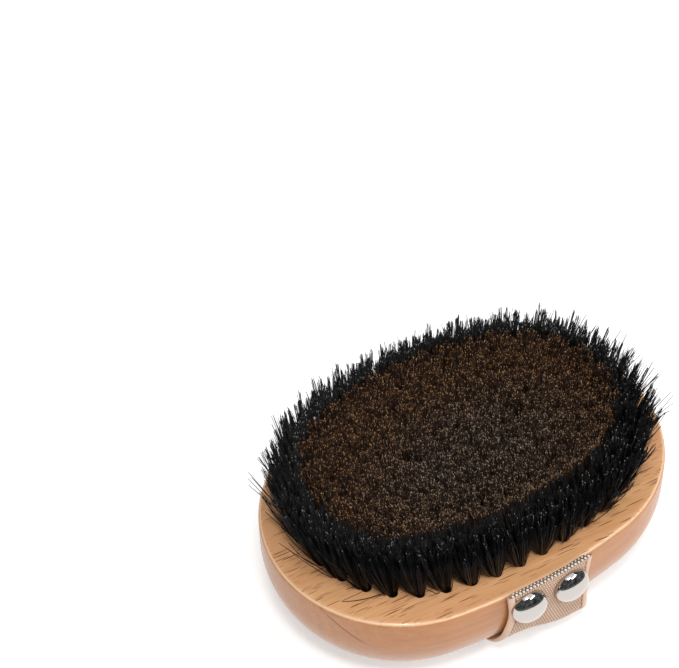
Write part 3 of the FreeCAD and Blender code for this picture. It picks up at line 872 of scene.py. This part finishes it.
# %% [markdown]
# ## Elastic webbing
#
# The strap is woven elastic.  Rubber threads run along it, and the polyester yarn that
# wraps them makes narrow ribs straight across, each beaded where the yarns cross.  At
# both edges a plain selvedge, a little over two millimetres wide, is set off by a
# groove.  The yarn is a dusty beige, with painted shade where the ribs meet and in the
# groove.

# %% The webbing material
FUZZ_SIZE = 0.35 * MM


def webbing():
    """Woven polyester over rubber: matt, with a faint sheen, and painted shade where it is deep."""
    material, tree, shader = new_material(
        "woven_elastic_webbing", IOR=1.5, Roughness=0.85, Sheen_Weight=0.15, Sheen_Roughness=0.5)
    relief = add_node(tree, "ShaderNodeAttribute", attribute_name="relief")
    # The dark end of this ramp, #4e2c1b, is painted shade in the weave's hollows.
    yarns = add_node(tree, "ShaderNodeValToRGB", {"Fac": relief.outputs["Fac"]},
                     stops=[(0.0, "#4e2c1b"), (0.52, "#efcbb0")])
    place = add_node(tree, "ShaderNodeTexCoord")
    fuzz = add_node(tree, "ShaderNodeTexNoise", {
        "Vector": place.outputs["Object"], "Scale": 1 / FUZZ_SIZE, "Detail": 2.0})
    tone = add_node(tree, "ShaderNodeMapRange", {
        "Value": fuzz.outputs["Fac"], "From Min": 0.3, "From Max": 0.7, "To Min": 0.90, "To Max": 1.06})
    dyed = add_node(tree, "ShaderNodeVectorMath", {
        0: yarns.outputs[0], "Scale": tone.outputs[0]}, operation="SCALE")
    tree.links.new(dyed.outputs[0], shader.inputs["Base Color"])
    nap = add_node(tree, "ShaderNodeBump", {
        "Strength": 0.3, "Distance": 0.04 * MM, "Height": fuzz.outputs["Fac"]})
    tree.links.new(nap.outputs[0], shader.inputs["Normal"])
    return material


webbing_material = webbing()
print("webbing: fuzz %.2f mm across" % (FUZZ_SIZE / MM))

# %% [markdown]
# ## The strap's path
#
# Seen from the end, the strap lies flat under the block, curves up along its rounding
# and runs straight up its side.  Those are two flats and two arcs that meet smoothly,
# so a function can give the place on it for any distance along it.

# %% Follow the strap
strap_low, strap_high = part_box("elastic_strap")
STRAP_WIDTH = strap_high.y - strap_low.y
STRAP_THICKNESS = 1.8 * MM
STRAP_CLEARANCE = 0.3 * MM
BEND_HEIGHT = BACK + ROUND_HEIGHT
SLOPE = math.asin(ROUND_HEIGHT / ROUND_RADIUS)
FLANK = ROUND_RADIUS + STRAP_CLEARANCE
JOIN_X = HALF_WIDTH - ROUND_RADIUS + FLANK * math.cos(SLOPE)
JOIN_Z = BEND_HEIGHT - FLANK * math.sin(SLOPE)
TURN = (JOIN_Z - STRAP_THICKNESS) / (1 - math.sin(SLOPE))
FLAT = JOIN_X - TURN * math.cos(SLOPE)
RISE = strap_high.z - BEND_HEIGHT
PATH = [(FLAT, 0.0), ((TURN + STRAP_THICKNESS) * (math.pi / 2 - SLOPE), TURN + STRAP_THICKNESS),
        ((FLANK + STRAP_THICKNESS) * SLOPE, FLANK + STRAP_THICKNESS), (RISE, 0.0)]
HALF_STRAP = sum(length for length, radius in PATH)


def strap_place(run):
    """(x, z, turn) of the strap's outer face at this distance from the middle."""
    x, z, turn, left = 0.0, 0.0, 0.0, abs(run)
    for length, radius in PATH:
        step = min(left, length)
        if radius:
            sweep = step / radius
            x += radius * (math.sin(turn + sweep) - math.sin(turn))
            z += radius * (math.cos(turn) - math.cos(turn + sweep))
            turn += sweep
        else:
            x += step * math.cos(turn)
            z += step * math.sin(turn)
        left -= step
    return x, z, turn


print("half of the strap is %.1f mm long and ends at height %.2f mm" % (
    HALF_STRAP / MM, strap_place(HALF_STRAP)[1] / MM))

# %% [markdown]
# ## Weave it
#
# A bump map could fake the ribs, but they show on the strap's outline and they are
# what the hand feels, so they are in the mesh: four rows of points to a rib, and four
# to a bead.  Each point's tone, which goes with the yarn's height, is also kept as an
# attribute, which the material above turns into colour, dark as painted shade where the
# yarn is deep.  The real weave is about a third finer; it is drawn as coarse as it must
# be to show from an arm's length.
#
# A rib is lower at its sides and a bead at its ends, but neither goes all the way
# down.  The two selvedges are plain, with a fine slanting line, behind a groove.

# %% The yarn's height
RIB_PITCH = 1.1 * MM
RIB_DEPTH = 0.36 * MM
BEAD_PITCH = 0.85 * MM
POINTS_PER_RIB = 4
POINTS_PER_BEAD = 4
RIB_SIDE, BEAD_END = 0.35, 0.15
SELVEDGE = 2.2 * MM
SELVEDGE_PLACES = (SELVEDGE, SELVEDGE - 0.25 * MM, 1.4 * MM, 0.9 * MM, 0.5 * MM, 0.2 * MM, 0.04 * MM)
SELVEDGE_HEIGHT = 0.75
SELVEDGE_TONE, LINE_TONE = 0.48, 0.3
LINE_PITCH = 1.3 * MM
GROOVE_INSIDE, GROOVE_OUTSIDE = 0.2 * MM, 0.12 * MM
GROOVE_HEIGHT = -0.8
BEADS_FROM_SELVEDGE = 0.3 * MM


def across_places():
    """(place, bead count) across the strap, from edge to edge."""
    half = STRAP_WIDTH / 2
    inner = half - SELVEDGE - BEADS_FROM_SELVEDGE
    steps = POINTS_PER_BEAD * round(inner / BEAD_PITCH)
    right = [(inner * step / steps, step / POINTS_PER_BEAD) for step in range(1, steps + 1)]
    right += [(half - from_edge, 0.0) for from_edge in SELVEDGE_PLACES]
    return [(-place, -bead) for place, bead in reversed(right)] + [(0.0, 0.0)] + right


def yarn(rib, bead, place):
    """(height, tone) of the yarn, 0 deep to 1 proud, the tone darkening deep yarn as painted shade; rib and
    bead count the weave's repeats.
    """
    from_edge = STRAP_WIDTH / 2 - abs(place)
    if from_edge > SELVEDGE + GROOVE_INSIDE:
        ridge = 0.5 + 0.5 * math.cos(math.tau * rib)
        grain = 0.5 + 0.5 * math.cos(math.tau * bead + math.pi * round(rib))
        crown = (RIB_SIDE + (1 - RIB_SIDE) * ridge) * (BEAD_END + (1 - BEAD_END) * grain)
        return crown, crown
    # In the groove the tone is 0, the darkest: painted shade.
    if from_edge > SELVEDGE - GROOVE_OUTSIDE:
        return GROOVE_HEIGHT, 0.0
    line = 0.5 + 0.5 * math.cos(math.tau * (rib - from_edge / LINE_PITCH))
    return SELVEDGE_HEIGHT + (1 - SELVEDGE_HEIGHT) * line, SELVEDGE_TONE + LINE_TONE * line


print("%d points across the strap" % len(across_places()))

# %% [markdown]
# An elastic strap is never quite straight.  Its nails draw it in to a slight waist, and
# under them it is slack along one edge and bows out there.  Bell curves along the
# strap give both, so that they fade in and out.

# %% The strap's slack
WAIST = 0.9 * MM
WAIST_FROM_END = 9.0 * MM
WAIST_REACH = 6.0 * MM
SLACK = 4.2 * MM
SLACK_HEIGHT = 6.0 * MM
SLACK_REACH = 7.0 * MM
SLACK_EDGE = 6.0 * MM


def strap_shape(run, place):
    """Where the strap's outer face lies: the point, and the direction to its inner face."""
    x, z, turn = strap_place(run)
    from_end = HALF_STRAP - abs(run)
    waist = WAIST * math.exp(-((from_end - WAIST_FROM_END) / WAIST_REACH) ** 2)
    y = place * (1 - waist / (STRAP_WIDTH / 2))
    swing = SIDE_RADIUS - HALF_WIDTH + x
    bulge = (math.sqrt(swing ** 2 - y ** 2) - swing) * min(1.0, z / ROUND_HEIGHT)
    loose = SLACK * math.exp(-((z - SLACK_HEIGHT) / SLACK_REACH) ** 2) * min(1.0, turn)
    bulge += loose * (0.5 + 0.5 * math.tanh(y / SLACK_EDGE))
    return Vector((x + bulge, y, z)), Vector((-math.sin(turn), 0, math.cos(turn)))


print("slack bows out by up to %.1f mm" % (SLACK / MM))

# %% [markdown]
# The points go round the strap: across its outer face, with every rib and bead, and
# back along its inner face, which hardly shows, with a ninth as many and half the
# relief.  The cut ends are in shadow, so the yarn is dark there.

# %% Build the webbing
COARSER_INSIDE = 9
INSIDE_RELIEF = 0.5
CUT_END_TONE = 0.2


def elastic_webbing():
    """The strap as one closed skin, with the yarn's tone as an attribute."""
    steps = POINTS_PER_RIB * int(HALF_STRAP / RIB_PITCH)
    places = across_places()
    under = places[::COARSER_INSIDE][::-1]
    around = len(places) + len(under)
    edge_radius = STRAP_THICKNESS / 2
    points, relief = [], []
    for step in range(-steps, steps + 1):
        run = HALF_STRAP * step / steps
        for outside, line in ((True, places), (False, under)):
            depth = RIB_DEPTH if outside else RIB_DEPTH * INSIDE_RELIEF
            for place, bead in line:
                height, tone = yarn(step / POINTS_PER_RIB, bead, place)
                from_edge = max(0.0, edge_radius - (STRAP_WIDTH / 2 - abs(place)))
                rounding = edge_radius - math.sqrt(max(0.0, edge_radius ** 2 - from_edge ** 2))
                sunk = (1 - height) * depth + rounding
                spot, inward = strap_shape(run, place)
                spot += inward * (sunk if outside else STRAP_THICKNESS - sunk)
                points.append((math.copysign(spot.x, run) if run else spot.x, spot.y, max(0.0, spot.z)))
                relief.append(tone * (CUT_END_TONE if abs(step) == steps else 1))
    faces = []
    for step in range(2 * steps):
        faces += walls(step * around, (step + 1) * around, around)
    last = 2 * steps * around
    faces += [tuple(range(around)), tuple(reversed(range(last, last + around)))]
    strap = new_piece("elastic_webbing", points, faces, webbing_material)
    strap.data.attributes.new("relief", "FLOAT", "POINT").data.foreach_set("value", relief)
    close_skin(strap)
    strap.data.set_sharp_from_angle(angle=math.radians(80))
    return strap


strap = elastic_webbing()
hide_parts("elastic_strap")
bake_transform(strap)

# %% [markdown]
# ## Nails
#
# The nails are steel with a bright nickel plate, pressed from wire: a shallow dome, a
# short straight rim and a pointed shank.  Turning a profile round its axis is how a
# lathe would make one and how Blender's Spin works; here a short function does it, so
# that the dome has rings enough for clean reflections.
#
# The plate and the wire of the anchors are both bare metal.  They differ in colour and
# in how rough wear leaves them: handling has dulled the plate in small patches, and
# drawing has left fine marks on the wire.

# %% The nickel and wire materials
def bare_metal(name, colour, wear_size, wear_detail, worn, polish):
    """A metal whose roughness follows its wear; worn and polish are ranges."""
    material, tree, shader = new_material(name, Metallic=1.0, Base_Color=linear(colour))
    place = add_node(tree, "ShaderNodeTexCoord")
    wear = add_node(tree, "ShaderNodeTexNoise", {
        "Vector": place.outputs["Object"], "Scale": 1 / wear_size, "Detail": wear_detail})
    rubbed = add_node(tree, "ShaderNodeMapRange", {
        "Value": wear.outputs["Fac"], "From Min": worn[0], "From Max": worn[1],
        "To Min": polish[0], "To Max": polish[1]})
    tree.links.new(rubbed.outputs[0], shader.inputs["Roughness"])
    return material


nickel_material = bare_metal("polished_nickel_plate", "#c4bfba", 1.5 * MM, 4.0, (0.35, 0.75), (0.07, 0.15))
wire_material = bare_metal("drawn_steel_wire", "#a9a59f", 0.3 * MM, 2.0, (0.3, 0.7), (0.25, 0.45))
for row in range(1, ROW_COUNT + 1):
    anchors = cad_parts["anchor_row_%d" % row].data
    anchors.materials.clear()
    anchors.materials.append(wire_material)
print("metals:", nickel_material.name, "and", wire_material.name)

# %% [markdown]
# A CAD nail comes nearest to the middle of the brush with the tip of its shank, and
# the part of it that is furthest out lies close to the top of its dome.  The line
# through both is within two degrees of its axis, and gives the new nail its place.
# Driven by hand, a nail is a few degrees askew, so each is tilted about its point.

# %% Turn the nails
HEAD_RADIUS = 5.8 * MM
HEAD_HEIGHT = 3.8 * MM
DOME_FULLNESS = 0.85
RIM_HEIGHT = 0.15 * MM
RIM_BREAK = 0.04 * MM
SHANK_RADIUS = 1.1 * MM
SHANK_LENGTH = 15.0 * MM
POINT_LENGTH = 2.5 * MM
NAIL_SIDES = 72
DOME_RINGS = 24


def nail_profile():
    """(radius, height above the point) from the point up to just under the dome's top."""
    profile = [(SHANK_RADIUS, POINT_LENGTH), (SHANK_RADIUS, SHANK_LENGTH),
               (HEAD_RADIUS - RIM_HEIGHT, SHANK_LENGTH),
               (HEAD_RADIUS - RIM_BREAK, SHANK_LENGTH + RIM_BREAK)]
    for step in range(DOME_RINGS):
        angle = math.pi / 2 * step / DOME_RINGS
        rise = (HEAD_HEIGHT - RIM_HEIGHT) * math.sin(angle) ** DOME_FULLNESS
        profile.append((HEAD_RADIUS * math.cos(angle), SHANK_LENGTH + RIM_HEIGHT + rise))
    return profile


def domed_nail(node, sideways, upward):
    """A nail in place of a CAD one, tilted by these angles in degrees."""
    corners = [vertex.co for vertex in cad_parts[node].data.vertices]
    point = min(corners, key=lambda corner: abs(corner.x))
    top = max(corners, key=lambda corner: abs(corner.x))
    profile = nail_profile()
    points = [(0, 0, 0)]
    for radius, height in profile:
        points += circle(radius, NAIL_SIDES, height)
    points.append((0, 0, SHANK_LENGTH + HEAD_HEIGHT))
    faces = [(0, 1 + (side + 1) % NAIL_SIDES, 1 + side) for side in range(NAIL_SIDES)]
    for ring in range(len(profile) - 1):
        faces += walls(1 + ring * NAIL_SIDES, 1 + (ring + 1) * NAIL_SIDES, NAIL_SIDES)
    last = 1 + (len(profile) - 1) * NAIL_SIDES
    faces += [(last + side, last + (side + 1) % NAIL_SIDES, len(points) - 1) for side in range(NAIL_SIDES)]
    nail = new_piece("domed_" + node, points, faces, nickel_material)
    turn = Vector((0, 0, 1)).rotation_difference(top - point)
    side = math.copysign(1, top.x)
    askew = (Matrix.Rotation(math.radians(sideways), 4, "Z")
             @ Matrix.Rotation(math.radians(-side * upward), 4, "Y"))
    nail.data.transform(Matrix.Translation(point) @ askew @ turn.to_matrix().to_4x4())
    nail.data.set_sharp_from_angle(angle=math.radians(50))
    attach(nail, "brush")
    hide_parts(node)


ASKEW = {"nail_right_front": (-5.5, 6.0), "nail_right_rear": (-0.8, 3.5),
         "nail_left_front": (2.0, 4.0), "nail_left_rear": (-1.5, 2.5)}
for node, (sideways, upward) in ASKEW.items():
    domed_nail(node, sideways, upward)

# %% [markdown]
# ## Rubber threads
#
# Where the strap is cut, the rubber threads inside it show as two staggered rows of
# pale dots.  Each is a short round plug that stands out a hair's breadth: its profile
# gives its width and height, ring by ring, as shares of a thread's.  Natural rubber is
# cream-coloured and matt where it is cut, and it picks up dust.

# %% The rubber material
DUST_SIZE = 0.6 * MM


def rubber():
    """Natural rubber, a little dusty."""
    material, tree, shader = new_material("natural_rubber_thread", IOR=1.52, Roughness=0.6)
    place = add_node(tree, "ShaderNodeTexCoord")
    dust = add_node(tree, "ShaderNodeTexNoise", {
        "Vector": place.outputs["Object"], "Scale": 1 / DUST_SIZE, "Detail": 2.0})
    dusty = add_node(tree, "ShaderNodeValToRGB", {"Fac": dust.outputs["Fac"]},
                     stops=[(0.0, "#d6cabb"), (1.0, "#f3ece2")])
    tree.links.new(dusty.outputs[0], shader.inputs["Base Color"])
    return material


rubber_material = rubber()
print("rubber: dust %.1f mm across" % (DUST_SIZE / MM))

# %% Add the thread ends
THREAD_COUNT = 23
THREADS_FROM_EDGE = 1.6 * MM
THREAD_PROFILE = ((1.0, -1.0), (1.0, 0.4), (0.6, 1.0))
THREAD_RADII = (0.42 * MM, 0.27 * MM)
THREAD_STAGGER = 0.42 * MM
THREAD_PROUD = 0.12 * MM
THREAD_SIDES = 10


def rubber_threads(name, side):
    """The cut thread ends along one end of the strap."""
    x, z, turn = strap_place(HALF_STRAP)
    x -= STRAP_THICKNESS / 2
    swing = SIDE_RADIUS - HALF_WIDTH + x
    half = STRAP_WIDTH / 2 - THREADS_FROM_EDGE
    points, faces = [], []
    for number in range(2 * THREAD_COUNT - 1):
        y = half * (number / (THREAD_COUNT - 1) - 1)
        middle = x + math.sqrt(swing ** 2 - y ** 2) - swing + THREAD_STAGGER * (-1) ** number
        first = len(points)
        for width, height in THREAD_PROFILE:
            ring = circle(width * THREAD_RADII[number % 2], THREAD_SIDES, z + THREAD_PROUD * height,
                          (middle, y))
            points += [(side * across, along, up) for across, along, up in ring]
        faces.append(tuple(first + corner for corner in reversed(range(THREAD_SIDES))))
        for start in (first, first + THREAD_SIDES):
            faces += walls(start, start + THREAD_SIDES, THREAD_SIDES)
        faces.append(tuple(range(len(points) - THREAD_SIDES, len(points))))
    threads = new_piece(name, points, faces, rubber_material)
    if side < 0:
        threads.data.flip_normals()
    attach(threads, "brush")


rubber_threads("rubber_threads_right", 1)
rubber_threads("rubber_threads_left", -1)

# %% [markdown]
# ## Floor and studio
#
# The brush stands on a pale sweep under soft light.  The floor is lit like anything
# else, so it keeps the shadow, and it glows a little, but only as the camera, a mirror
# or glass shows it, which takes it to paper white without lighting the brush any more.

# %% The floor
FLOOR_RADIUS = 4.0
FLOOR_SIDES = 96
PAPER_GRAIN = 2 * MM
FLOOR_GLOW = 0.47


def seen_directly(tree):
    """1 for rays that come from the camera, a mirror or glass, and 0 for light on the brush."""
    path = add_node(tree, "ShaderNodeLightPath")
    mirrored = add_node(tree, "ShaderNodeMath", {
        0: path.outputs["Is Camera Ray"], 1: path.outputs["Is Glossy Ray"]}, operation="MAXIMUM")
    return add_node(tree, "ShaderNodeMath", {
        0: mirrored.outputs[0], 1: path.outputs["Is Transmission Ray"]}, operation="MAXIMUM").outputs[0]


def studio_floor():
    """A round sheet of matt white paper under the brush."""
    material, tree, shader = new_material(
        "white_sweep", Roughness=0.9, Base_Color=linear("#dadada"), Emission_Color=(1, 1, 1, 1))
    place = add_node(tree, "ShaderNodeTexCoord")
    paper = add_node(tree, "ShaderNodeTexNoise", {
        "Vector": place.outputs["Object"], "Scale": 1 / PAPER_GRAIN})
    bump = add_node(tree, "ShaderNodeBump", {
        "Strength": 0.02, "Distance": 0.05 * MM, "Height": paper.outputs["Fac"]})
    tree.links.new(bump.outputs[0], shader.inputs["Normal"])
    glow = add_node(tree, "ShaderNodeMath", {0: seen_directly(tree), 1: FLOOR_GLOW}, operation="MULTIPLY")
    tree.links.new(glow.outputs[0], shader.inputs["Emission Strength"])
    points = [(0, 0, 0)] + circle(FLOOR_RADIUS, FLOOR_SIDES)
    faces = [(0, 1 + side, 1 + (side + 1) % FLOOR_SIDES) for side in range(FLOOR_SIDES)]
    new_piece("studio_floor", points, faces, material)


studio_floor()

# %% [markdown]
# The room round a product table is dark, and only the lamps are bright.  Wood and
# cloth don't care, but a polished dome shows it: white below, from the floor, dark
# above, with small bright panes.  A dark wall round the table, and dark felt beyond the
# white sheet, give that to mirrors alone.
#
# One lamp overhead and three small ones, like the panes of a window, give the plain
# light.  A low one fills the side, and the white world fills the shadows.

# %% The dark wall and table
WALL_DISTANCE = 1.6
WALL_HEIGHT = 2.6
WALL_SIDES = 64
SHEET_RADIUS = 0.18
FELT_HEIGHT = 1 * MM


def black_felt():
    """Dark grey felt, with soft patches."""
    material, tree, shader = new_material("black_felt", Roughness=1.0)
    place = add_node(tree, "ShaderNodeTexCoord")
    patches = add_node(tree, "ShaderNodeTexNoise", {"Vector": place.outputs["Object"], "Scale": 3.0})
    felt = add_node(tree, "ShaderNodeValToRGB", {"Fac": patches.outputs["Fac"]},
                    stops=[(0.35, "#15181a"), (0.75, "#7c8286")])
    tree.links.new(felt.outputs[0], shader.inputs["Base Color"])
    return material


def show_in_mirrors_only(name, low_ring, high_ring, material):
    """A band of felt between two rings, which neither the camera nor the light sees."""
    band = new_piece(name, low_ring + high_ring, walls(0, WALL_SIDES, WALL_SIDES), material)
    for ray in ("camera", "diffuse", "transmission", "shadow", "volume_scatter"):
        setattr(band, "visible_" + ray, False)


felt_material = black_felt()
show_in_mirrors_only("dark_wall", circle(WALL_DISTANCE, WALL_SIDES),
                     circle(WALL_DISTANCE, WALL_SIDES, WALL_HEIGHT), felt_material)
show_in_mirrors_only("dark_table", circle(SHEET_RADIUS, WALL_SIDES, FELT_HEIGHT),
                     circle(WALL_DISTANCE, WALL_SIDES, FELT_HEIGHT), felt_material)

# %% The lamps
PANES = [(1.30, 0.35, 1.55), (1.05, 0.75, 1.60), (0.70, 1.05, 1.65)]


def softbox(name, place, size, power):
    """A square lamp that faces the brush, with place and size in metres and power in watts."""
    lamp = bpy.data.lights.new(name, "AREA")
    lamp.shape = "SQUARE"
    lamp.size = size
    lamp.energy = power
    holder = bpy.data.objects.new(name, lamp)
    holder.location = place
    holder.rotation_euler = (-Vector(place)).to_track_quat("-Z", "Y").to_euler()
    bpy.context.scene.collection.objects.link(holder)
    return holder


softbox("overhead_softbox", (0.60, -0.36, 1.8), size=0.35, power=17.5)
side_fill = softbox("side_fill", (0.85, 1.45, 0.50), size=0.6, power=6)
side_fill.visible_glossy = False
for number, place in enumerate(PANES, start=1):
    softbox("window_pane_%d" % number, place, size=0.42, power=3.5)
print("lamps:", len(bpy.data.lights))

# %% The white world
WORLD_LIGHT = 0.48

world = bpy.data.worlds.new("white_studio")
bpy.context.scene.world = world
world.use_nodes = True
background = world.node_tree.nodes["Background"]
background.inputs["Color"].default_value = (1, 1, 1, 1)
level = add_node(world.node_tree, "ShaderNodeMapRange", {
    "Value": seen_directly(world.node_tree), "To Min": WORLD_LIGHT})
world.node_tree.links.new(level.outputs[0], background.inputs["Strength"])
print("world: strength %.2f on the brush, 1 behind it" % WORLD_LIGHT)

# %% [markdown]
# ## Camera
#
# The camera looks down on the near side of the strap.  It is placed by its direction
# and by where the middle of the block's back sits in front of it: so far to the right
# of the lens axis, below it and along it.

# %% Place the camera
CAMERA_AZIMUTH = 59.05
CAMERA_ELEVATION = 48.74
CAMERA_ROLL = -1.57
BLOCK_IN_VIEW = Vector((37.767, -60.476, -780.876)) * MM
LENS_IN_MM = 134.07
SENSOR_IN_MM = 36.0


def place_camera():
    """The camera, looking along its direction, rolled and moved to its place."""
    azimuth, elevation = math.radians(CAMERA_AZIMUTH), math.radians(CAMERA_ELEVATION)
    backward = Vector((math.sin(azimuth) * math.cos(elevation),
                       -math.cos(azimuth) * math.cos(elevation), math.sin(elevation)))
    right = Vector((math.cos(azimuth), math.sin(azimuth), 0))
    turned = Matrix((right, backward.cross(right), backward)).transposed()
    turned = turned @ Matrix.Rotation(math.radians(CAMERA_ROLL), 3, "Z")
    lens = bpy.data.cameras.new("camera")
    lens.lens = LENS_IN_MM
    lens.sensor_width = SENSOR_IN_MM
    camera = bpy.data.objects.new("camera", lens)
    lens_place = Vector((0, 0, BACK)) - turned @ BLOCK_IN_VIEW
    camera.matrix_world = Matrix.Translation(lens_place) @ turned.to_4x4()
    bpy.context.scene.collection.objects.link(camera)
    bpy.context.scene.camera = camera
    return camera


camera = place_camera()
bpy.context.scene.view_settings.view_transform = "Standard"
print("camera at", camera.matrix_world.translation)
